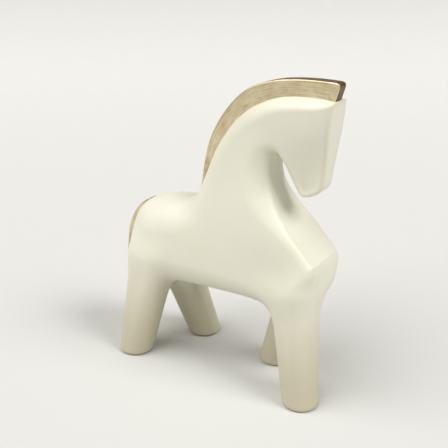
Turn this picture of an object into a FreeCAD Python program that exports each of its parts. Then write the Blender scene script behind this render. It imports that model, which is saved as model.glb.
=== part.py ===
import FreeCAD, Part
import Sketcher
import math
import os

# A standing horse of glazed stoneware: a hollow slip-cast body with four legs luted under it,
# a gilded mane let into the neck, a gilded tail let into the rump and a felt pad under each foot.
# +X is where the horse looks, +Z is up, and the origin is the middle of the stand at table level.
# The horse's right side is -Y and its left side is +Y.  All lengths are millimetres.

DOC = FreeCAD.newDocument("horse")
Vector = FreeCAD.Vector

SIZES = {
    "trunk_width": 52.0,
    "trunk_corner": 20.0,
    "rump_corner": 24.0,
    "rump_reach": 84.0,
    "belly_height": 61.5,
    "saddle_height": 132.0,
    "crest_round": 7.5,
    "wall": 4.5,
    "joint_height": 58.0,
    "root_height": 92.0,
    "lap_height": 5.0,
    "lap_wall": 2.4,
    "lap_gap": 0.2,
    "foot_radius": 13.2,
    "root_radius": 16.4,
    "foot_round": 3.0,
    "foot_lift": 0.4,
    "foot_floor": 7.0,
    "front_foot_spread": 20.9,
    "rear_foot_spread": 26.9,
    "front_root_spread": 7.0,
    "rear_root_spread": 9.6,
    "front_right_foot_x": 76.9,
    "front_left_foot_x": 34.6,
    "rear_right_foot_x": -65.3,
    "rear_left_foot_x": -36.1,
    "front_right_root_x": 61.6,
    "front_left_root_x": 63.0,
    "rear_right_root_x": -53.2,
    "rear_left_root_x": -60.2,
    "mane_width": 9.4,
    "tail_width": 8.0,
    "tongue_width": 4.0,
    "tongue_depth": 2.2,
    "tongue_gap": 0.15,
    "gilt_chamfer": 0.8,
    "pad_radius": 7.5,
    "pad_thickness": 1.8,
    "pad_gap": 0.25,
    "vent_radius": 3.0,
    "vent_x": 6.0,
}

# Outlines in the (x, z) plane.  Each run is one smooth curve, and the runs meet at real corners.
CREST = [(-16.7, 131), (-14.2, 139.5), (-9.7, 153.5), (-4.5, 167.3), (1.3, 178), (8.2, 187.3),
         (16, 194.3), (23.6, 199.2), (32.6, 203.5), (44.2, 207.3), (55.5, 209), (66.6, 209.4),
         (84, 208.8)]
FACE = [(84, 208.8), (78.7, 155)]
MUZZLE = [(78.7, 155), (77.3, 151.5), (73.8, 148.3), (69.3, 146.4), (65.3, 146.6), (62.4, 149),
          (59.3, 154.2), (55.8, 161), (51.3, 169.3), (48.8, 173.2), (45, 175.8), (41.4, 174.3),
          (39, 170), (37.8, 164), (38.1, 157), (40.6, 148.5), (47.1, 137)]
CHEST_FACET = [(47.1, 137), (79.7, 103.8)]
NECK_ROOT = [(79.7, 103.8), (72, 82)]
NECK_FLOOR = [(72, 82), (-22, 82)]
NECK_BACK = [(-22, 82), (-16.7, 131)]
NECK_RUNS = [CREST, FACE, MUZZLE, CHEST_FACET, NECK_ROOT, NECK_FLOOR, NECK_BACK]

RUMP_AND_BACK = [(-66, 61.5), (-76, 65), (-81.6, 73), (-83.4, 82), (-83.2, 91), (-80.8, 100),
                 (-76.6, 107.5), (-70.5, 114), (-63, 119), (-54, 122.6), (-44, 124.9),
                 (-34, 126.6), (-16.7, 129.8)]
SADDLE = [(-16.7, 129.8), (52, 130)]
SHOULDER_FACET = [(52, 130), (79.7, 103.8)]
BREAST = [(79.7, 103.8), (80, 98), (78, 88), (73.8, 78), (65.8, 69), (53.8, 64), (41, 61.5)]
BELLY = [(41, 61.5), (-66, 61.5)]
TRUNK_RUNS = [RUMP_AND_BACK, SADDLE, SHOULDER_FACET, BREAST, BELLY]

# Half width of the neck and head against height, seen from the front.
NECK_HALF_WIDTHS = [(25.5, 80), (24.5, 95), (21.3, 108), (19.6, 122), (17.6, 137), (15.4, 152),
                    (13.9, 170), (13.3, 188), (12.8, 211)]

# The cheeks close in from the middle of the head to the narrow face.
CHEEK_BACK_X, CHEEK_BACK_Y = 48.0, 14.2
CHEEK_FRONT_X, CHEEK_LOW_Y, CHEEK_HIGH_Y = 90.0, 2.6, 12.6
CHEEK_LOW_Z, CHEEK_HIGH_Z = 142.0, 222.0

MANE_TOP = [(-16.9, 132.5), (-13.9, 148.5), (-10.2, 167), (-5.9, 178.7), (0.8, 190.7),
            (8, 200.3), (17.3, 208.5), (25.8, 213.5), (33, 216.3), (43.2, 218.6), (54.5, 220.1),
            (68.4, 220.6), (87.2, 220.8)]
TAIL_OUTER = [(-62, 120.8), (-68.5, 118.8), (-75, 113.5), (-80.6, 106), (-84.8, 97.5),
              (-87.5, 87.5), (-89.2, 73.5), (-89.8, 60.7), (-90.1, 50)]
TAIL_INNER = [(-87.6, 48.8), (-86.7, 60), (-85.4, 71.5), (-82, 84), (-79, 95), (-74.5, 103.5),
              (-67, 111.5), (-62, 115)]
SEAT_DEPTH = 3.0          # how far the strips are drawn into the body before they are fitted to it
TONGUE_HOLD = 0.8         # how far a tongue is rooted in its strip
MANE_TONGUE = CREST[3:-1]  # the stretch of the crest that is grooved for the mane
TAIL_TONGUE = RUMP_AND_BACK[3:8]

SIDE_VIEW = FreeCAD.Rotation(Vector(1, 0, 0), 90)    # sketch (x, y) is (X, Z)
FRONT_VIEW = FreeCAD.Rotation(Vector(1, 1, 1), 120)  # sketch (x, y) is (Y, Z)
LEGS = [("front", "right"), ("front", "left"), ("rear", "right"), ("rear", "left")]


def make_sheet():
    sheet = DOC.addObject("Spreadsheet::Sheet", "Sizes")
    for row, (alias, value) in enumerate(SIZES.items(), start=1):
        sheet.set("A%d" % row, alias)
        sheet.set("B%d" % row, str(value))
        sheet.setAlias("B%d" % row, alias)
    DOC.recompute()
    return sheet


def size(alias):
    return float(SHEET.get(alias))


def feature(kind, label, **settings):
    """One object of the document; settings that are text are expressions on the sheet."""
    item = DOC.addObject(kind, label)
    for prop, value in settings.items():
        if isinstance(value, str) and prop != "DirMode":
            item.setExpression(prop, value)
        else:
            setattr(item, prop, value)
    return item


def curve(run):
    """A straight line through two points, or one smooth curve through more."""
    points = [Vector(a, b, 0) for a, b in run]
    if len(points) == 2:
        return Part.LineSegment(*points)
    spline = Part.BSplineCurve()
    spline.interpolate(points)
    return spline


def outline(label, runs, view=SIDE_VIEW):
    sketch = feature("Sketcher::SketchObject", label)
    sketch.Placement = FreeCAD.Placement(Vector(), view)
    for run in runs:
        sketch.addGeometry(curve(run), False)
    return sketch


def slab(label, runs, width, view=SIDE_VIEW):
    """An outline thickened equally to both sides of its plane."""
    return feature("Part::Extrusion", label, Base=outline(label + "_outline", runs, view),
                   DirMode="Normal", Solid=True, Symmetric=True, LengthFwd=width)


def corner_normal(before, point, after, turn):
    """The inward direction at a corner, long enough to move both its sides by one."""
    sides = [(point[0] - before[0], point[1] - before[1]), (after[0] - point[0], after[1] - point[1])]
    normals = [(-turn * dz / math.hypot(dx, dz), turn * dx / math.hypot(dx, dz)) for dx, dz in sides]
    mean = (normals[0][0] + normals[1][0], normals[0][1] + normals[1][1])
    reach = mean[0] * normals[0][0] + mean[1] * normals[0][1]
    return mean[0] / reach, mean[1] / reach


def inset(runs, depth):
    """The same closed outline, moved inwards by depth."""
    loop = [point for run in runs for point in run[:-1]]
    count = len(loop)
    area = sum(loop[i - 1][0] * loop[i][1] - loop[i][0] * loop[i - 1][1] for i in range(count))
    moved = []
    for i, (x, z) in enumerate(loop):
        dx, dz = corner_normal(loop[i - 1], (x, z), loop[(i + 1) % count], math.copysign(1, area))
        moved.append((x + depth * dx, z + depth * dz))
    result = []
    start = 0
    for run in runs:
        result.append([moved[(start + i) % count] for i in range(len(run))])
        start += len(run) - 1
    return result


def edges_where(shape, test):
    return [number for number, edge in enumerate(shape.Edges, start=1) if test(edge)]


def rounded(label, base, test, radius):
    DOC.recompute()
    edges = [(number, radius, radius) for number in edges_where(base.Shape, test)]
    return feature("Part::Fillet", label, Base=base, Edges=edges)


def along(edge, axis):
    """Whether an edge is a straight one along an axis."""
    return abs(edge.tangentAt(edge.FirstParameter).dot(axis)) > 0.99 and len(edge.Vertexes) == 2


# ---------------------------------------------------------------- the body casting
def cheek_cutter(label, side, depth):
    """The wedge outside one cheek, moved towards the middle by depth."""
    far = 2 * CHEEK_BACK_Y
    back = [(CHEEK_BACK_X, side * y, z) for y, z in (
        (CHEEK_BACK_Y - depth, CHEEK_LOW_Z), (CHEEK_BACK_Y - depth, CHEEK_HIGH_Z),
        (far, CHEEK_HIGH_Z), (far, CHEEK_LOW_Z))]
    front = [(CHEEK_FRONT_X, side * y, z) for y, z in (
        (CHEEK_LOW_Y - depth, CHEEK_LOW_Z), (CHEEK_HIGH_Y - depth, CHEEK_HIGH_Z),
        (far, CHEEK_HIGH_Z), (far, CHEEK_LOW_Z))]
    ends = [feature("Part::Polygon", "%s_%d" % (label, number), Close=True,
                    Nodes=[Vector(*corner) for corner in corners])
            for number, corners in enumerate((back, front))]
    return feature("Part::Loft", label, Sections=ends, Solid=True, Ruled=True)


def taper_cheeks(label, head, depth):
    cutters = feature("Part::MultiFuse", label + "_cutters", Shapes=[
        cheek_cutter(label + "_cutter_right", -1, depth),
        cheek_cutter(label + "_cutter_left", 1, depth)])
    return feature("Part::Cut", label, Base=head, Tool=cutters)


def neck_form(label, depth):
    """Neck and head: the side outline, cut to the widths of the front view."""
    side = slab(label + "_side", inset(NECK_RUNS, depth), "Sizes.trunk_width + 20")
    half = [(width - depth, z) for width, z in NECK_HALF_WIDTHS]
    mirror = [(-width, z) for width, z in reversed(half)]
    front = slab(label + "_front", [half, [half[-1], mirror[0]], mirror, [mirror[-1], half[0]]],
                 "4 * Sizes.rump_reach", FRONT_VIEW)
    return feature("Part::MultiCommon", label, Shapes=[side, front])


def trunk_bar(label, depth, grow):
    """A bar along X with the trunk's rounded section."""
    bar = feature("Part::Box", label, Length="4 * Sizes.rump_reach",
                  Width="Sizes.trunk_width" + grow,
                  Height="Sizes.saddle_height - Sizes.belly_height" + grow)
    bar.setExpression("Placement.Base.x", "-2 * Sizes.rump_reach")
    bar.setExpression("Placement.Base.y", "-(Sizes.trunk_width%s) / 2" % grow)
    bar.setExpression("Placement.Base.z", "Sizes.belly_height - (0%s) / 2" % grow)
    radius = size("trunk_corner") - depth
    return rounded(label + "_round", bar, lambda edge: along(edge, Vector(1, 0, 0)), radius)


def trunk_plan(label, depth, grow):
    """An upright block whose rear corners round the rump in plan."""
    block = feature("Part::Box", label, Length="3 * Sizes.rump_reach",
                    Width="Sizes.trunk_width" + grow, Height="2 * Sizes.rump_reach")
    block.setExpression("Placement.Base.x", "-Sizes.rump_reach - (0%s) / 2" % grow)
    block.setExpression("Placement.Base.y", "-(Sizes.trunk_width%s) / 2" % grow)
    radius = size("rump_corner") - depth

    def is_rear_upright(edge):
        return along(edge, Vector(0, 0, 1)) and edge.CenterOfMass.x < 0

    return rounded(label + "_round", block, is_rear_upright, radius)


def trunk_form(label, depth, grow):
    """Chest, belly and rump: the side outline, rounded in front view and in plan."""
    side = slab(label + "_side", inset(TRUNK_RUNS, depth), "Sizes.trunk_width + 20")
    return feature("Part::MultiCommon", label, Shapes=[
        side, trunk_bar(label + "_bar", depth, grow), trunk_plan(label + "_plan", depth, grow)])


def leg_place(end, side, height):
    """Expressions for the axis of a leg at a height, which leans from its foot to its root."""
    rise = "(%s) / Sizes.root_height" % height
    foot_x, root_x = "Sizes.%s_%s_foot_x" % (end, side), "Sizes.%s_%s_root_x" % (end, side)
    foot_y, root_y = "Sizes.%s_foot_spread" % end, "Sizes.%s_root_spread" % end
    sign = {"right": "-1", "left": "1"}[side]
    return ("%s + (%s - %s) * %s" % (foot_x, root_x, foot_x, rise),
            "%s * (%s + (%s - %s) * %s)" % (sign, foot_y, root_y, foot_y, rise))


def leg_radius(height, less="0"):
    return ("Sizes.foot_radius + (Sizes.root_radius - Sizes.foot_radius) * (%s)"
            " / Sizes.root_height - (%s)" % (height, less))


def leg_ring(label, end, side, height, less):
    ring = feature("Part::Circle", label, Radius=leg_radius(height, less))
    x, y = leg_place(end, side, height)
    ring.setExpression("Placement.Base.x", x)
    ring.setExpression("Placement.Base.y", y)
    ring.setExpression("Placement.Base.z", height)
    return ring


def leg_root(label, end, side, heights, less="0"):
    """The stretch of a leg's cone between two heights."""
    rings = [leg_ring("%s_ring_%d" % (label, number), end, side, height, less)
             for number, height in enumerate(heights)]
    return feature("Part::Loft", label, Sections=rings, Solid=True, Ruled=True)


def body_outside():
    neck = neck_form("neck_outside", 0)
    DOC.recompute()

    def is_crest(edge):
        return edge.Length > 100 and edge.CenterOfMass.z > 150

    crest = rounded("neck_crest", neck, is_crest, size("crest_round"))
    head = taper_cheeks("neck_and_head", crest, 0)
    roots = [leg_root("%s_%s_root" % (end, side), end, side,
                      ("Sizes.joint_height", "Sizes.root_height")) for end, side in LEGS]
    trunk = trunk_form("trunk_outside", 0, " + 0")
    return feature("Part::MultiFuse", "body_outside", Shapes=[head, trunk] + roots)


def body_hollow():
    wall = size("wall")
    parts = [taper_cheeks("head_hollow", neck_form("neck_hollow", wall), wall),
             trunk_form("trunk_hollow", wall, " - 2 * Sizes.wall")]
    below = "Sizes.joint_height - 1"
    for end, side in LEGS:
        name = "%s_%s" % (end, side)
        parts.append(leg_root(name + "_bore", end, side, (below, "Sizes.root_height - Sizes.wall"),
                              "Sizes.wall"))
        top = "Sizes.joint_height + Sizes.lap_height + Sizes.lap_gap"
        parts.append(leg_root(name + "_socket", end, side, (below, top), "Sizes.lap_wall"))
    vent = feature("Part::Cylinder", "vent", Radius="Sizes.vent_radius", Height="3 * Sizes.wall")
    vent.setExpression("Placement.Base.x", "Sizes.vent_x")
    vent.setExpression("Placement.Base.z", "Sizes.belly_height - Sizes.wall")
    return feature("Part::MultiFuse", "body_hollow", Shapes=parts + [vent])


def tongue_runs(run, depth):
    """The band that lies just under a stretch of the body's outline."""
    inner = inset_open(run, depth)
    outer = inset_open(run, -TONGUE_HOLD)
    return [outer, [outer[-1], inner[-1]], inner[::-1], [inner[0], outer[0]]]


def inset_open(run, depth):
    """A stretch of the body's outline, which runs with the body on its right, moved inwards."""
    moved = []
    for i, point in enumerate(run):
        before, after = run[max(i - 1, 0)], run[min(i + 1, len(run) - 1)]
        dx, dz = after[0] - before[0], after[1] - before[1]
        length = math.hypot(dx, dz)
        moved.append((point[0] + depth * dz / length, point[1] - depth * dx / length))
    return moved


def groove(label, run):
    return slab(label, tongue_runs(run, size("tongue_depth") + size("tongue_gap")),
                "Sizes.tongue_width + 2 * Sizes.tongue_gap")


def body_casting(outside):
    grooves = feature("Part::MultiFuse", "body_grooves", Shapes=[
        body_hollow(), groove("mane_groove", MANE_TONGUE), groove("tail_groove", TAIL_TONGUE)])
    return feature("Part::Cut", "body_casting", Base=outside, Tool=grooves)


# ---------------------------------------------------------------- the four legs
def origin_plane(body, role):
    return [item for item in body.Origin.OriginFeatures if item.Role == role][0]


def disc_sketch(body, label, radius, x="0", y="0", z="0"):
    """A circle on a level plane of the body, with its radius and centre bound to the sheet."""
    sketch = body.newObject("Sketcher::SketchObject", label)
    sketch.AttachmentSupport = [(origin_plane(body, "XY_Plane"), "")]
    sketch.MapMode = "FlatFace"
    sketch.setExpression("AttachmentOffset.Base.x", x)
    sketch.setExpression("AttachmentOffset.Base.y", y)
    sketch.setExpression("AttachmentOffset.Base.z", z)
    circle = sketch.addGeometry(Part.Circle(Vector(), Vector(0, 0, 1), 10), False)
    sketch.addConstraint(Sketcher.Constraint("Coincident", circle, 3, -1, 1))
    sketch.addConstraint(Sketcher.Constraint("Radius", circle, 10))
    sketch.setExpression("Constraints[1]", radius)
    return sketch


def leg_section(body, label, end, side, height, less="0"):
    """The leg's round section at a height, measured from the middle of its foot."""
    lean_x = "(Sizes.%s_%s_root_x - Sizes.%s_%s_foot_x)" % (end, side, end, side)
    lean_y = "(Sizes.%s_root_spread - Sizes.%s_foot_spread)" % (end, end)
    sign = {"right": "-1", "left": "1"}[side]
    rise = "(%s) / Sizes.root_height" % height
    return disc_sketch(body, label, leg_radius(height, less), "%s * %s" % (lean_x, rise),
                       "%s * %s * %s" % (sign, lean_y, rise), height)


def leg_loft(body, kind, label, end, side, levels):
    """A loft up the leg through rings, each given by its height and how far in it is set."""
    rings = [leg_section(body, "%s_%d" % (label, number), end, side, height, less)
             for number, (height, less) in enumerate(levels)]
    loft = body.newObject(kind, label)
    loft.Profile = rings[0]
    loft.Sections = rings[1:]
    loft.Ruled = True
    return loft


def sole_levels():
    """Rings up the quarter round between the sole and the side of the foot."""
    for angle in (0, 30, 60, 90):
        rise, less = 1 - math.cos(math.radians(angle)), 1 - math.sin(math.radians(angle))
        yield ("Sizes.foot_lift + %.4f * Sizes.foot_round" % rise,
               "%.4f * Sizes.foot_round" % less)


def place_on_foot(body, end, side, height="0"):
    sign = {"right": "-1", "left": "1"}[side]
    body.setExpression("Placement.Base.x", "Sizes.%s_%s_foot_x" % (end, side))
    body.setExpression("Placement.Base.y", "%s * Sizes.%s_foot_spread" % (sign, end))
    body.setExpression("Placement.Base.z", height)


def leg(end, side):
    """A hollow leg: closed foot, open top with a spigot that laps into the body's root."""
    name = "%s_%s_leg" % (end, side)
    body = DOC.addObject("PartDesign::Body", name)
    place_on_foot(body, end, side)
    joint, lap_top = "Sizes.joint_height", "Sizes.joint_height + Sizes.lap_height"
    lap, wall = "Sizes.lap_wall + Sizes.lap_gap", "Sizes.wall"
    leg_loft(body, "PartDesign::AdditiveLoft", name + "_post", end, side,
             [*sole_levels(), (joint, "0")])
    leg_loft(body, "PartDesign::AdditiveLoft", name + "_spigot", end, side,
             [(joint, lap), (lap_top, lap)])
    leg_loft(body, "PartDesign::SubtractiveLoft", name + "_cavity", end, side,
             [("Sizes.foot_floor", wall), (lap_top, wall)])
    recess = body.newObject("PartDesign::Pocket", name + "_recess")
    recess.Profile = disc_sketch(body, name + "_recess_disc", "Sizes.pad_radius + Sizes.pad_gap",
                                 z="Sizes.foot_lift")
    recess.Reversed = True
    recess.setExpression("Length", "Sizes.pad_thickness - Sizes.foot_lift")
    body.Tip = recess
    return body


def foot_pad(end, side):
    """A felt disc in the recess under a foot, which it lifts off the table."""
    name = "%s_%s_pad" % (end, side)
    body = DOC.addObject("PartDesign::Body", name)
    place_on_foot(body, end, side)
    disc = body.newObject("PartDesign::Pad", name + "_disc")
    disc.Profile = disc_sketch(body, name + "_outline", "Sizes.pad_radius")
    disc.setExpression("Length", "Sizes.pad_thickness")
    return body


# ---------------------------------------------------------------- the gilded strips
def strip(label, runs, width, fitted_to, tongue_run, is_long_edge):
    """A strip with chamfered outer edges, fitted to the body and let into it by a tongue."""
    blank = slab(label + "_blank", runs, width)
    DOC.recompute()
    edges = [(number, size("gilt_chamfer"), size("gilt_chamfer"))
             for number in edges_where(blank.Shape, is_long_edge)]
    chamfered = feature("Part::Chamfer", label + "_chamfered", Base=blank, Edges=edges)
    seated = feature("Part::Cut", label + "_seated", Base=chamfered, Tool=fitted_to)
    tongue = slab(label + "_tongue", tongue_runs(tongue_run, size("tongue_depth")),
                  "Sizes.tongue_width")
    return feature("Part::MultiFuse", label, Shapes=[seated, tongue])


def mane(fitted_to):
    seat = inset_open(CREST, SEAT_DEPTH)[:-1]
    runs = [MANE_TOP, [MANE_TOP[-1], CREST[-1]], [CREST[-1], seat[-1]], seat[::-1],
            [seat[0], MANE_TOP[0]]]

    def is_top_edge(edge):
        return edge.Length > 100 and edge.BoundBox.ZMax > CREST[-1][1] + 5

    return strip("mane", runs, "Sizes.mane_width", fitted_to, MANE_TONGUE, is_top_edge)


def tail(fitted_to):
    runs = [TAIL_OUTER, [TAIL_OUTER[-1], TAIL_INNER[0]], TAIL_INNER,
            [TAIL_INNER[-1], TAIL_OUTER[0]]]

    def is_outer_edge(edge):
        return edge.Length > 50 and edge.CenterOfMass.x < -80.5

    return strip("tail", runs, "Sizes.tail_width", fitted_to, TAIL_TONGUE, is_outer_edge)


# ---------------------------------------------------------------- the whole horse
def check(items):
    for item in DOC.Objects:
        if "Invalid" in item.State or "Error" in item.State:
            raise RuntimeError("%s did not recompute: %s" % (item.Label, item.State))
    for item in items:
        if item.Shape.isNull() or not item.Shape.isValid() or len(item.Shape.Solids) != 1:
            raise RuntimeError("%s is not one valid solid" % item.Label)


SHEET = make_sheet()
outside = body_outside()
pieces = [body_casting(outside), mane(outside), tail(outside)]
pieces += [leg(end, side) for end, side in LEGS]
pieces += [foot_pad(end, side) for end, side in LEGS]
DOC.recompute()
check(pieces)
os.makedirs("parts", exist_ok=True)
for piece in pieces:
    piece.Shape.exportStep("parts/%s.step" % piece.Label)
    print(piece.Label, round(piece.Shape.Volume), "mm3")
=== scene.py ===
import math

import bpy
import numpy as np
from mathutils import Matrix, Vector


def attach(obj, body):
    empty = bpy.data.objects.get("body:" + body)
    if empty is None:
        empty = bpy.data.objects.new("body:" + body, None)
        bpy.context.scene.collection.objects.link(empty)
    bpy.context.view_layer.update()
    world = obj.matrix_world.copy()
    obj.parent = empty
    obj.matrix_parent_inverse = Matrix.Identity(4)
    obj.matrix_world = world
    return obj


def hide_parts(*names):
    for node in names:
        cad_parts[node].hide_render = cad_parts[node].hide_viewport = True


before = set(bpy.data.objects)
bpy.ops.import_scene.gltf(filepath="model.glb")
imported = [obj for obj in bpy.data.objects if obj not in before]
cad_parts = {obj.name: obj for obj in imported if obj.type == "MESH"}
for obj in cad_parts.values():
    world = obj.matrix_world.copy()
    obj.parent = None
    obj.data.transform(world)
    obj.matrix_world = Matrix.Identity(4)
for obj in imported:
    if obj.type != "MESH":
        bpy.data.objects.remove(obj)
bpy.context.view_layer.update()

# A stylised horse in cream glazed stoneware with a gold-leafed mane and tail.
# Shapes are worked out in millimetres: x where the horse looks, y its left side, z up from the table.
MM = 0.001

# ------------------------------------------------------------------ the horse's form
# Side outline of trunk, neck and head; each run is smooth, and the runs meet at real corners.
CREST = [(-13.4, 138.5), (-7.2, 153.5), (-1.8, 167.3), (4.2, 178), (10.8, 187.3), (18, 194.3),
         (25, 199.4), (33.4, 203.8), (44.2, 207.9), (55.5, 209.9), (66.6, 210.3),
         (77, 209.8), (84.8, 208.9)]
FACE = [(84.8, 208.9), (79.3, 155.5)]
MUZZLE_AND_CHEST = [(79.3, 155.5), (77.7, 151.4), (73.8, 148.1), (69.3, 146.3), (64.8, 146.2),
                    (62, 149), (59, 154.2), (56, 160.2), (52.9, 165.8), (50.3, 169.2),
                    (47.6, 171.6), (44.8, 170.8), (43.1, 167.4), (42.4, 161.8), (42.7, 155.2),
                    (44.3, 148.5), (47.6, 141.5), (52, 134.2), (59, 125.6), (69.9, 114.1),
                    (80.6, 102.6)]
UNDERSIDE = [(80.8, 102.6), (81.6, 97), (78.8, 88), (74.4, 76.5), (65.6, 66.8), (55, 63.4),
             (38, 63.3), (10, 63), (-20, 61.6), (-46, 61), (-62, 61.5), (-72, 65), (-77, 73),
             (-78.2, 82), (-78.2, 91), (-77, 98.8), (-74.4, 106), (-70.4, 113),
             (-63.8, 118.9), (-54, 123.2), (-44, 126), (-34, 127.5), (-24, 128.6), (-18.3, 131),
             (-13.4, 138.5)]

# Half thickness of the horse at places (x, z) of its side view.
HALF_THICKNESS = [(-82, 85, 22), (-80, 60, 25), (-54, 120, 23), (-54, 90, 26), (-54, 60, 27),
                  (-14, 90, 25.5), (-14, 60, 25.5), (-19, 125, 21.5), (26, 90, 25), (26, 60, 25),
                  (68, 85, 24.6), (78, 90, 24.2), (80, 103, 21.3), (63, 120, 21.8),
                  (47, 137, 21), (38, 152, 18.5),
                  (36, 172, 14.8), (6, 125, 21.5), (-6, 145, 17.5), (16, 150, 18.2), (6, 170, 14.2),
                  (21, 185, 13.4), (51, 195, 13.2), (51, 209, 12.8), (31, 203, 13),
                  (83.5, 203, 11.8), (79, 155, 7.3), (81, 179, 9.6), (64, 149, 8.6),
                  (56, 163, 10.6), (68, 185, 12.4), (48, 174, 12.6)]
# Radius of the rounding between the sides and the outline's edge at places (x, z).
EDGE_RADIUS = [(-81, 85, 21), (-72, 110, 21), (-54, 120, 22), (-34, 126, 21), (-22, 128.5, 18),
               (-15, 138, 13), (-8, 155, 10), (-4, 167, 9), (16, 194, 10), (44, 207, 11),
               (66, 209, 10.5), (77, 209, 7.5), (84, 208.8, 3.5), (82.8, 190, 1.5), (79.3, 160, 1.3),
               (76, 150, 1.8), (66, 146, 2.2), (59, 155, 2.6), (52, 168, 3.8), (46, 171, 8),
               (42, 162, 10), (42.5, 152, 10.5), (47, 141, 9), (62, 123, 4.2), (80.6, 103, 4.2),
               (81, 97, 5.5), (78, 87, 9), (73, 74, 12), (56, 64, 19), (6, 63, 21), (-44, 61, 22),
               (-76, 72, 22)]

# How loosely the two fields follow their values, and their limits.
THICKNESS_EASE = 1.0
RADIUS_EASE = 0.5
THINNEST, THICKEST = 4, 30
SHARPEST = 1.0

# Each leg leans from its foot on the table to its root inside the trunk: (x, y, radius).
ROOT_HEIGHT = 100.0
LEGS = {
    "front_right": ((77.4, -20.9, 12.6), (60.2, -6.4, 15.6)),
    "front_left": ((34.6, 20.9, 13.1), (69.8, 5.2, 15.0)),
    "rear_right": ((-65.3, -26.8, 13.3), (-52.4, -8.2, 16.4)),
    "rear_left": ((-36.1, 26.8, 13.2), (-62.8, 8.2, 15.4)),
}
SQUARED = 0.52       # how far a leg's round section is squared by the time it reaches its root
LEG_TOP = 92.0       # the legs end inside the trunk at this height
TOP_ROUND = 12.0     # rounding of that inner end
FOOT_ROUND = 1.9     # rounding of the rim of each foot
FOOT_LIFT = 0.4      # the felt pads keep the glazed feet this far off the table
LEG_BLEND = 19.0     # how far the legs' hollows run into the trunk
# The hole in the belly that lets steam out in the kiln (x, y, radius), and how far up it goes.
VENT = (6.0, 0.0, 3.0)
VENT_TOP = 68.0
# Side outlines of the two gilded strips.
MANE_TOP = [(-18.4, 128), (-16.9, 134.8), (-15.5, 144), (-13, 158), (-8.9, 172.6), (-2.7, 184.9),
            (4.4, 195.2), (12.9, 204.6), (22.6, 211.7), (33, 215.9), (43.2, 218.6), (54.5, 220.1),
            (68.4, 220.8), (79.2, 220.7), (84.2, 220.3), (85.8, 219.3), (86, 217.4)]
MANE_FRONT = (83.4, 208.6)
MANE_BACK = (-15.5, 128.5)
SEAT_DEPTH = 1.2     # the mane sinks this far into the crest
TAIL_OUTER = [(-60, 120.4), (-67.4, 117.6), (-74.4, 112.2), (-79.2, 106.5), (-82.7, 100.4),
              (-85, 95.2), (-86.9, 88.5), (-88, 82.2), (-88.9, 75.7), (-89.6, 66), (-90, 50)]
TAIL_INNER = [(-86.6, 49.4), (-85, 60), (-81.8, 72), (-77.5, 84), (-73.5, 95), (-69, 103),
              (-64, 108.5), (-59, 112.5)]


def smooth_run(points, steps=10):
    """Points along a smooth curve through a run (centripetal Catmull-Rom)."""
    if len(points) == 2:
        return np.array(points, float)
    p = np.array(points, float)
    p = np.vstack([2 * p[0] - p[1], p, 2 * p[-1] - p[-2]])
    out = []
    for a, b, c, d in zip(p[:-3], p[1:-2], p[2:-1], p[3:]):
        t1 = math.sqrt(math.dist(a, b))
        t2 = t1 + math.sqrt(math.dist(b, c))
        t3 = t2 + math.sqrt(math.dist(c, d))
        t = np.linspace(t1, t2, steps, endpoint=False)[:, None]
        ab = (t1 - t) / t1 * a + t / t1 * b
        bc = (t2 - t) / (t2 - t1) * b + (t - t1) / (t2 - t1) * c
        cd = (t3 - t) / (t3 - t2) * c + (t - t2) / (t3 - t2) * d
        abc = (t2 - t) / t2 * ab + t / t2 * bc
        bcd = (t3 - t) / (t3 - t1) * bc + (t - t1) / (t3 - t1) * cd
        out.append((t2 - t) / (t2 - t1) * abc + (t - t1) / (t2 - t1) * bcd)
    return np.vstack(out + [p[-2][None]])


def side_distance(runs, x, z):
    """Distance from points of the side view to the closed outline, negative inside it."""
    loop = np.vstack([smooth_run(run)[:-1] for run in runs])
    nearest = np.full(x.shape, np.inf)
    inside = np.zeros(x.shape, bool)
    for (ax, az), (bx, bz) in zip(loop, np.roll(loop, -1, axis=0)):
        ex, ez = bx - ax, bz - az
        along = np.clip(((x - ax) * ex + (z - az) * ez) / (ex * ex + ez * ez), 0, 1)
        nearest = np.minimum(nearest, np.hypot(x - ax - along * ex, z - az - along * ez))
        if az != bz:
            spans = (az > z) != (bz > z)
            inside ^= spans & (x < ax + ex * (z - az) / ez)
    return np.where(inside, -nearest, nearest)


def spread(places, x, z, ease):
    """A smooth field over the side view, bent like a thin sheet close to the values at some places."""
    place = np.array(places, float)
    count = len(place)

    def bend(squared):
        return 0.5 * squared * np.log(squared + 1e-9)

    gaps = ((place[:, None, :2] - place[None, :, :2]) ** 2).sum(-1)
    system = np.zeros((count + 3, count + 3))
    system[:count, :count] = bend(gaps) + ease * np.eye(count)
    system[:count, count] = 1
    system[:count, count + 1:] = place[:, :2]
    system[count:, :count] = system[:count, count:].T
    weight = np.linalg.solve(system, np.concatenate([place[:, 2], np.zeros(3)]))
    field = weight[count] + weight[count + 1] * x + weight[count + 2] * z
    for (px, pz, _), w in zip(place, weight):
        field = field + w * bend((x - px) ** 2 + (z - pz) ** 2)
    return field


def rounded_edge(a, b, radius):
    """Where two surfaces meet, rounded over by a radius."""
    a, b = a + radius, b + radius
    return np.minimum(np.maximum(a, b), 0) + np.hypot(np.maximum(a, 0), np.maximum(b, 0)) - radius


def flow_together(a, b, reach):
    """Two forms run into each other like wet clay."""
    near = np.maximum(reach - np.abs(a - b), 0) / reach
    return np.minimum(a, b) - near ** 3 * reach / 6


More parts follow.
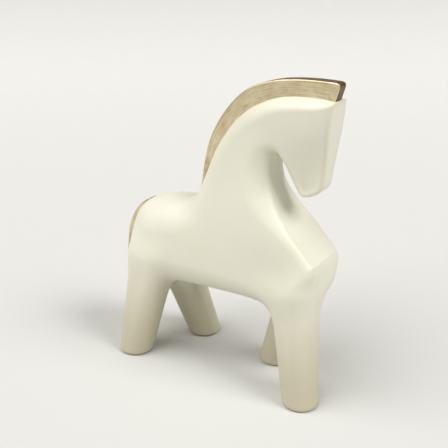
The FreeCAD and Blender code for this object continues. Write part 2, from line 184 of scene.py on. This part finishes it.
def leg_distance(x, y, z, foot, root):
    """Roughly how far a point is from one leg: a leaning cone, round below and squarer on top."""
    rise = np.clip(z / ROOT_HEIGHT, 0, 1)
    middle_x, middle_y, radius = [f + rise * (r - f) for f, r in zip(foot, root)]
    lean = math.dist(foot[:2], root[:2]) / ROOT_HEIGHT
    flat = SQUARED * rise * radius
    out_x, out_y = np.abs(x - middle_x) - flat, np.abs(y - middle_y) - flat
    side = np.hypot(np.maximum(out_x, 0), np.maximum(out_y, 0)) - (radius - flat)
    side = side / math.sqrt(1 + lean * lean / 2)
    sole = rounded_edge(side, FOOT_LIFT - z, FOOT_ROUND)
    return np.where(z < LEG_TOP / 2, sole, rounded_edge(side, z - LEG_TOP, TOP_ROUND))


def horse_form(x, z):
    """The three fields of the side view that the trunk, neck and head are made from."""
    side = side_distance([CREST, FACE, MUZZLE_AND_CHEST, UNDERSIDE], x, z)
    half = np.clip(spread(HALF_THICKNESS, x, z, THICKNESS_EASE), THINNEST, THICKEST)
    logs = [(px, pz, math.log(r)) for px, pz, r in EDGE_RADIUS]
    radius = np.clip(np.exp(spread(logs, x, z, RADIUS_EASE)), SHARPEST, half - 1)
    return side, half, radius


def horse_distance(x, y, z, side, half, radius):
    """Roughly how far a point is from the horse's surface, negative inside it."""
    form = rounded_edge(side, np.abs(y) - half, radius)
    for foot, root in LEGS.values():
        form = flow_together(form, leg_distance(x, y, z, foot, root), LEG_BLEND)
    vent_x, vent_y, vent_radius = VENT
    drilled = vent_radius - np.hypot(x - vent_x, y - vent_y)
    return np.maximum(form, np.where(z < VENT_TOP, drilled, -np.inf))


def surface_net(field, corner, step):
    """A quad skin over the place where a field on a regular grid changes sign."""
    solid = field < 0
    cells = tuple(n - 1 for n in field.shape)
    total = np.zeros(cells + (3,))
    count = np.zeros(cells)
    faces = []
    for axis in range(3):
        u, v = (axis + 1) % 3, (axis + 2) % 3
        low = [slice(None)] * 3
        high = [slice(None)] * 3
        low[axis], high[axis] = slice(None, -1), slice(1, None)
        a, b = solid[tuple(low)], solid[tuple(high)]
        index = np.argwhere(a != b)
        start = field[tuple(low)][tuple(index.T)]
        end = field[tuple(high)][tuple(index.T)]
        point = index.astype(float)
        point[:, axis] += start / (start - end)
        ring = []
        for du, dv in ((1, 1), (0, 1), (0, 0), (1, 0)):
            cell = index.copy()
            cell[:, u] -= du
            cell[:, v] -= dv
            ring.append(np.ravel_multi_index(tuple(cell.T), cells))
            np.add.at(total.reshape(-1, 3), ring[-1], point)
            np.add.at(count.reshape(-1), ring[-1], 1)
        quad = np.stack(ring, 1)
        outward = a[tuple(index.T)]
        faces.append(np.where(outward[:, None], quad, quad[:, ::-1]))
    faces = np.vstack(faces)
    used = np.flatnonzero(count.reshape(-1))
    renumber = np.full(count.size, -1)
    renumber[used] = np.arange(len(used))
    points = total.reshape(-1, 3)[used] / count.reshape(-1)[used, None]
    return points * step + corner, renumber[faces]


def neighbour_mean(points, values, faces):
    """The mean of a value over each point's neighbours along the quads' edges."""
    total = np.zeros((len(points),) + values.shape[1:])
    count = np.zeros(len(points))
    for a, b in ((0, 1), (1, 2), (2, 3), (3, 0)):
        for here, there in ((faces[:, a], faces[:, b]), (faces[:, b], faces[:, a])):
            np.add.at(total, here, values[there])
            np.add.at(count, here, 1)
    return total / count.reshape((-1,) + (1,) * (values.ndim - 1))


SPONGE_PULLS = (0.5, -0.52)


def relax(points, faces, rounds):
    """Sponges the skin smooth without shrinking it: a pull in, then a push out."""
    for _ in range(rounds):
        for pull in SPONGE_PULLS:
            points = points + pull * (neighbour_mean(points, points, faces) - points)
    return points


# ------------------------------------------------------------------ making pieces
def piece_from(name, points, faces, material):
    """A shown piece from points in millimetres, riding on the one rigid body."""
    mesh = bpy.data.meshes.new(name)
    mesh.from_pydata((np.asarray(points) * MM).tolist(), [], np.asarray(faces).tolist())
    mesh.shade_smooth()
    piece = bpy.data.objects.new(name, mesh)
    bpy.context.scene.collection.objects.link(piece)
    mesh.materials.append(material)
    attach(piece, "root")
    return piece


SKIN_STEP = 0.75     # spacing of the grid that the glazed skin is drawn on
SKIN_LOW = np.array([-94.0, -44.0, -3.0])
SKIN_HIGH = np.array([92.0, 44.0, 214.0])
SKIN_ROUNDS = 3


def glazed_skin(material):
    """Body casting and legs under one unbroken coat of glaze."""
    axes = [np.arange(a, b, SKIN_STEP) for a, b in zip(SKIN_LOW, SKIN_HIGH)]
    side_x, side_z = np.meshgrid(axes[0], axes[2], indexing="ij")
    fields = [f[:, None, :] for f in horse_form(side_x, side_z)]
    x, y, z = np.meshgrid(*axes, indexing="ij", sparse=True)
    field = horse_distance(x, y, z, *fields)
    points, faces = surface_net(field, SKIN_LOW, SKIN_STEP)
    points = relax(points, faces, SKIN_ROUNDS)
    skin = piece_from("glazed_skin", points, faces, material)
    # The bend of the skin marks glaze break on ridges, and glaze pooling plus painted shade in
    # hollows.
    hollow = pooling_and_hollow_shade(points, faces)
    layer = skin.data.attributes.new("pooling_and_hollow_shade", "FLOAT", "POINT")
    layer.data.foreach_set("value", hollow.astype(np.float32))
    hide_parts("body_casting", *[name + "_leg" for name in LEGS])


POOLING_AND_SHADE_ROUNDS = 6   # how often the bend of the skin is evened out
POOLING_AND_SHADE_GAIN = 12    # how strongly a bend of the skin counts


def pooling_and_hollow_shade(points, faces):
    """0.5 on flat ground, less on ridges where glaze runs thinner, more in hollows where it pools and
    where shade is painted in.
    """
    pull = neighbour_mean(points, points, faces) - points
    a, b, c, d = [points[faces[:, i]] for i in range(4)]
    normals = np.zeros_like(points)
    across = np.cross(c - a, d - b)
    for i in range(4):
        np.add.at(normals, faces[:, i], across)
    normals /= np.linalg.norm(normals, axis=1, keepdims=True)
    bend = (pull * normals).sum(1)
    for _ in range(POOLING_AND_SHADE_ROUNDS):
        bend = neighbour_mean(points, bend, faces)
    return np.clip(0.5 + bend * POOLING_AND_SHADE_GAIN, 0, 1)


# ------------------------------------------------------------------ gilded strips
STRIP_STEP = 0.5     # spacing of the grid that a gilded strip is drawn on
STRIP_MARGIN = 2     # room left around the strip on that grid
STRIP_ROUNDS = 2


def gilded_strip(name, runs, half_width, rounding, material, node):
    """A strip of even width inside a side outline, with worn, rounded edges."""
    loop = np.vstack([smooth_run(run) for run in runs])
    low = np.array([loop[:, 0].min(), -half_width, loop[:, 1].min()]) - STRIP_MARGIN
    high = np.array([loop[:, 0].max(), half_width, loop[:, 1].max()]) + STRIP_MARGIN
    axes = [np.arange(a, b, STRIP_STEP) for a, b in zip(low, high)]
    side_x, side_z = np.meshgrid(axes[0], axes[2], indexing="ij")
    side = side_distance(runs, side_x, side_z)
    across = np.abs(axes[1])[None, :, None] - half_width
    field = rounded_edge(side[:, None, :], across, rounding)
    points, faces = surface_net(field, low, STRIP_STEP)
    points = relax(points, faces, STRIP_ROUNDS)
    strip = piece_from(name, points, faces, material)
    brushed = brush_direction(points, smooth_run(runs[0]))
    layer = strip.data.attributes.new("brushed", "FLOAT_VECTOR", "POINT")
    layer.data.foreach_set("vector", brushed.astype(np.float32).ravel())
    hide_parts(node)


def brush_direction(points, edge):
    """Each point's place along the strip, in from its outer edge, and across, in millimetres."""
    reach = np.concatenate([[0], np.cumsum(np.linalg.norm(np.diff(edge, axis=0), axis=1))])
    away = np.linalg.norm(points[:, None, [0, 2]] - edge[None], axis=2)
    nearest = away.argmin(1)
    return np.stack([reach[nearest], away.min(1), points[:, 1]], 1)


# ------------------------------------------------------------------ materials
def linear(code):
    """An sRGB hex colour as linear RGBA."""
    channels = [int(code[i:i + 2], 16) / 255 for i in (0, 2, 4)]
    return tuple(c / 12.92 if c <= 0.04045 else ((c + 0.055) / 1.055) ** 2.4
                 for c in channels) + (1.0,)


def add(tree, kind, inputs, stops=(), **settings):
    """Adds a node with settings and colour stops; an input takes a plain value or another's output."""
    node = tree.nodes.new(kind)
    for name, value in settings.items():
        setattr(node, name, value)
    for socket, value in inputs.items():
        if isinstance(value, bpy.types.NodeSocket):
            tree.links.new(value, node.inputs[socket])
        else:
            node.inputs[socket].default_value = value
    for number, (place, code) in enumerate(stops):
        elements = node.color_ramp.elements
        if number == len(elements):
            elements.new(place)
        elements[number].position = place
        elements[number].color = linear(code)
    return node


def new_material(name):
    """A material whose nodes are still to be laid."""
    material = bpy.data.materials.new(name)
    material.use_nodes = True
    material.node_tree.nodes.clear()
    return material, material.node_tree


def per_metre(size_mm):
    """The texture scale whose features are about this size."""
    return 1 / (size_mm * MM)


def satin_glaze():
    """Satin stoneware glaze: cream with a soft sheen, faintly clouded and specked with iron.

    It is thinner and warmer on ridges, darker in hollows, where it pools and where shade is painted
    in, and painted darker down the legs as shade; the rim of each foot is wiped back to bare clay.
    """
    material, tree = new_material("satin_stoneware_glaze")
    multiply = {"data_type": "RGBA", "blend_type": "MULTIPLY"}
    place = add(tree, "ShaderNodeTexCoord", {}).outputs["Object"]
    pooling_and_shade = add(tree, "ShaderNodeAttribute", {}, attribute_name="pooling_and_hollow_shade")
    cloud = add(tree, "ShaderNodeTexNoise", {"Vector": place, "Scale": per_metre(38),
                                             "Detail": 4.0, "Roughness": 0.55})
    speck = add(tree, "ShaderNodeTexNoise", {"Vector": place, "Scale": per_metre(0.9),
                                             "Detail": 2.0})
    ripple = add(tree, "ShaderNodeTexNoise", {"Vector": place, "Scale": per_metre(7),
                                              "Detail": 3.0})
    base = add(tree, "ShaderNodeValToRGB", {0: cloud.outputs["Fac"]},
               stops=[(0.3, "E2E0CE"), (0.7, "E7E6D6")])
    # Ridges come out a little warmer from thin glaze; hollows come out darker tan, partly glaze
    # pooling and partly painted shade.
    run = add(tree, "ShaderNodeValToRGB", {0: pooling_and_shade.outputs["Fac"]},
              stops=[(0.15, "F6F3EA"), (0.5, "FFFFFF"), (0.62, "EEEADB"), (0.85, "C4B89B")])
    coat = add(tree, "ShaderNodeMix", {0: 0.6, 6: base.outputs[0], 7: run.outputs[0]}, **multiply)
    iron = add(tree, "ShaderNodeValToRGB", {0: speck.outputs["Fac"]},
               stops=[(0.70, "FFFFFF"), (0.78, "CDBFA0")])
    spotted = add(tree, "ShaderNodeMix", {0: 0.35, 6: coat.outputs[2], 7: iron.outputs[0]},
                  **multiply)
    height = add(tree, "ShaderNodeSeparateXYZ", {0: place}).outputs["Z"]
    wiped = add(tree, "ShaderNodeMapRange", {"Value": height, "From Min": 2.0 * MM,
                                             "From Max": 1.4 * MM})
    # Painted shade: the glaze is multiplied darker and warmer from 95 mm down towards the feet.
    leg_shade_fade = add(tree, "ShaderNodeMapRange", {"Value": height, "From Min": 95 * MM,
                                            "From Max": 10 * MM, "To Max": 0.8},
               interpolation_type="SMOOTHSTEP")
    leg_shaded = add(tree, "ShaderNodeMix", {0: leg_shade_fade.outputs[0], 6: spotted.outputs[2],
                                          7: linear("CFC8B8")}, **multiply)
    clay = add(tree, "ShaderNodeMix", {0: wiped.outputs[0], 6: leg_shaded.outputs[2],
                                       7: linear("B9A587")}, data_type="RGBA")
    dull = add(tree, "ShaderNodeMapRange", {"Value": cloud.outputs["Fac"], "To Min": 0.44,
                                            "To Max": 0.54})
    bump = add(tree, "ShaderNodeBump", {"Height": ripple.outputs["Fac"], "Strength": 0.25,
                                        "Distance": 0.12 * MM})
    shader = add(tree, "ShaderNodeBsdfPrincipled",
                 {"Base Color": clay.outputs[2], "Roughness": dull.outputs[0],
                  "Normal": bump.outputs[0], "IOR": 1.5, "Coat Weight": 0.12,
                  "Coat Roughness": 0.3})
    add(tree, "ShaderNodeOutputMaterial", {0: shader.outputs[0]})
    return material


STROKE_LENGTH = 14    # the brush's marks in the leaf, in millimetres
STROKE_WIDTH = 0.8


def gold_leaf():
    """Gold leaf brushed over stoneware: warm, streaked lengthwise, painted darker brown as shade on
    its top, ends and edges.
    """
    material, tree = new_material("brushed_gold_leaf")
    coordinates = add(tree, "ShaderNodeTexCoord", {})
    brushed = add(tree, "ShaderNodeAttribute", {}, attribute_name="brushed")
    strokes = add(tree, "ShaderNodeMapping", {
        "Vector": brushed.outputs["Vector"],
        "Scale": (1 / STROKE_LENGTH, 1 / STROKE_WIDTH, 1 / STROKE_WIDTH)})
    patch = add(tree, "ShaderNodeTexNoise", {"Vector": coordinates.outputs["Object"],
                                             "Scale": per_metre(11), "Detail": 6.0,
                                             "Roughness": 0.6})
    grain = add(tree, "ShaderNodeTexNoise", {"Vector": strokes.outputs[0], "Scale": 1.0,
                                             "Detail": 5.0, "Roughness": 0.65})
    mixed = add(tree, "ShaderNodeMix", {0: 0.6, 2: patch.outputs["Fac"], 3: grain.outputs["Fac"]},
                data_type="FLOAT")
    leaf = add(tree, "ShaderNodeValToRGB", {0: mixed.outputs[0]},
               stops=[(0.34, "A48F66"), (0.45, "D3C199"), (0.62, "EEE1C1")])
    # Painted shade: faces that do not face sideways, the strip's top, ends and rounded edges, are
    # painted darker brown.
    facing = add(tree, "ShaderNodeSeparateXYZ", {0: coordinates.outputs["Normal"]})
    sideways = add(tree, "ShaderNodeMath", {0: facing.outputs["Y"]}, operation="ABSOLUTE")
    off_side_shade = add(tree, "ShaderNodeMapRange", {"Value": sideways.outputs[0], "From Min": 0.75,
                                               "From Max": 0.25})
    shaded_leaf = add(tree, "ShaderNodeMix", {0: off_side_shade.outputs[0], 6: leaf.outputs[0],
                                       7: linear("7E6B49")},
               data_type="RGBA", blend_type="MULTIPLY")
    dull = add(tree, "ShaderNodeMapRange", {"Value": mixed.outputs[0], "To Min": 0.52,
                                            "To Max": 0.30})
    bump = add(tree, "ShaderNodeBump", {"Height": mixed.outputs[0], "Strength": 0.5,
                                        "Distance": 0.15 * MM})
    shader = add(tree, "ShaderNodeBsdfPrincipled",
                 {"Base Color": shaded_leaf.outputs[2], "Roughness": dull.outputs[0],
                  "Normal": bump.outputs[0], "Metallic": 0.85})
    add(tree, "ShaderNodeOutputMaterial", {0: shader.outputs[0]})
    return material


def pressed_felt():
    """Pressed wool felt: matt, heathered grey-brown, with a soft fibre nap."""
    material, tree = new_material("pressed_wool_felt")
    place = add(tree, "ShaderNodeTexCoord", {}).outputs["Object"]
    fibre = add(tree, "ShaderNodeTexNoise", {"Vector": place, "Scale": per_metre(0.5),
                                             "Detail": 5.0, "Distortion": 1.2})
    tone = add(tree, "ShaderNodeValToRGB", {0: fibre.outputs["Fac"]},
               stops=[(0.35, "4A443B"), (0.65, "6B6356")])
    bump = add(tree, "ShaderNodeBump", {"Height": fibre.outputs["Fac"], "Strength": 0.8,
                                        "Distance": 0.25 * MM})
    shader = add(tree, "ShaderNodeBsdfPrincipled",
                 {"Base Color": tone.outputs[0], "Normal": bump.outputs[0], "Roughness": 0.95,
                  "Sheen Weight": 0.4, "Sheen Roughness": 0.6})
    add(tree, "ShaderNodeOutputMaterial", {0: shader.outputs[0]})
    return material


def white_paper():
    """Matt backdrop paper: one even, pale grey without a sheen."""
    material, tree = new_material("white_paper")
    shader = add(tree, "ShaderNodeBsdfPrincipled", {"Base Color": linear("CECECB"),
                                                    "Roughness": 0.9})
    add(tree, "ShaderNodeOutputMaterial", {0: shader.outputs[0]})
    return material


# ------------------------------------------------------------------ stage, light and camera
CAMERA_AZIMUTH = 33.3
CAMERA_ELEVATION = 21.5
CAMERA_REACH = 0.506
CAMERA_AIM = Vector((0.0001, 0.0, 0.1106))
CAMERA_LENS = 56.5


def towards(azimuth, elevation):
    """The direction of something seen from the horse at an azimuth and elevation in degrees."""
    a, e = math.radians(azimuth), math.radians(elevation)
    return Vector((math.sin(a) * math.cos(e), -math.cos(a) * math.cos(e), math.sin(e)))


def pale_table():
    """A plain pale table that curves up out of sight behind the horse."""
    wide, front, back, rise, bend = 2.4, -2.5, 1.6, 1.6, 0.5
    line = [(front, 0.0), (back - bend, 0.0)]
    line += [(back - bend + bend * math.sin(a), bend - bend * math.cos(a))
             for a in (math.radians(d) for d in range(9, 90, 9))]
    line += [(back, bend), (back, rise)]
    corners = [(side * wide, y, z) for y, z in line for side in (-1, 1)]
    faces = [(i, i + 1, i + 3, i + 2) for i in range(0, 2 * len(line) - 2, 2)]
    mesh = bpy.data.meshes.new("table")
    mesh.from_pydata(corners, [], faces)
    mesh.shade_smooth()
    mesh.materials.append(white_paper())
    table = bpy.data.objects.new("table", mesh)
    bpy.context.scene.collection.objects.link(table)
    table.rotation_euler.z = math.radians(CAMERA_AZIMUTH)


def soft_sky(name, azimuth, elevation, strength, softness):
    """An even, soft light from far away."""
    data = bpy.data.lights.new(name, "SUN")
    data.energy = strength
    data.angle = math.radians(softness)
    lamp = bpy.data.objects.new(name, data)
    bpy.context.scene.collection.objects.link(lamp)
    lamp.rotation_euler = towards(azimuth, elevation).to_track_quat("Z", "Y").to_euler()


def light_the_horse():
    """A wide key light from the front left, a side light on the chest, and a pale room."""
    soft_sky("key", azimuth=-37, elevation=53, strength=2.45, softness=60)
    soft_sky("side", azimuth=93, elevation=46, strength=1.95, softness=30)
    world = bpy.data.worlds.new("pale_room")
    world.use_nodes = True
    room = world.node_tree.nodes["Background"]
    room.inputs["Color"].default_value = linear("FFF8EC")
    room.inputs["Strength"].default_value = 0.24
    bpy.context.scene.world = world
    bpy.context.scene.view_settings.view_transform = "Standard"


def close_camera():
    """The near, three-quarter view from slightly above the horse's head."""
    data = bpy.data.cameras.new("camera")
    data.lens = CAMERA_LENS
    data.sensor_width = 36.0
    data.clip_start = 0.01
    camera = bpy.data.objects.new("camera", data)
    bpy.context.scene.collection.objects.link(camera)
    away = towards(CAMERA_AZIMUTH, CAMERA_ELEVATION)
    camera.location = CAMERA_AIM + away * CAMERA_REACH
    camera.rotation_euler = away.to_track_quat("Z", "Y").to_euler()
    bpy.context.scene.camera = camera


# ------------------------------------------------------------------ the whole figurine
close_camera()
light_the_horse()
pale_table()
glaze, gold, felt = satin_glaze(), gold_leaf(), pressed_felt()
glazed_skin(glaze)
seat = [MANE_FRONT] + [(x + SEAT_DEPTH, z - SEAT_DEPTH) for x, z in CREST[-2::-1]] + [MANE_BACK]
gilded_strip("gilded_mane", [MANE_TOP, [MANE_TOP[-1], MANE_FRONT], seat, [MANE_BACK, MANE_TOP[0]]],
             half_width=4.7, rounding=0.9, material=gold, node="mane")
gilded_strip("gilded_tail", [TAIL_OUTER, [TAIL_OUTER[-1], TAIL_INNER[0]], TAIL_INNER,
                             [TAIL_INNER[-1], TAIL_OUTER[0]]],
             half_width=4.0, rounding=0.7, material=gold, node="tail")
for name in LEGS:
    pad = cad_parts[name + "_pad"]
    pad.data.materials.clear()
    pad.data.materials.append(felt)
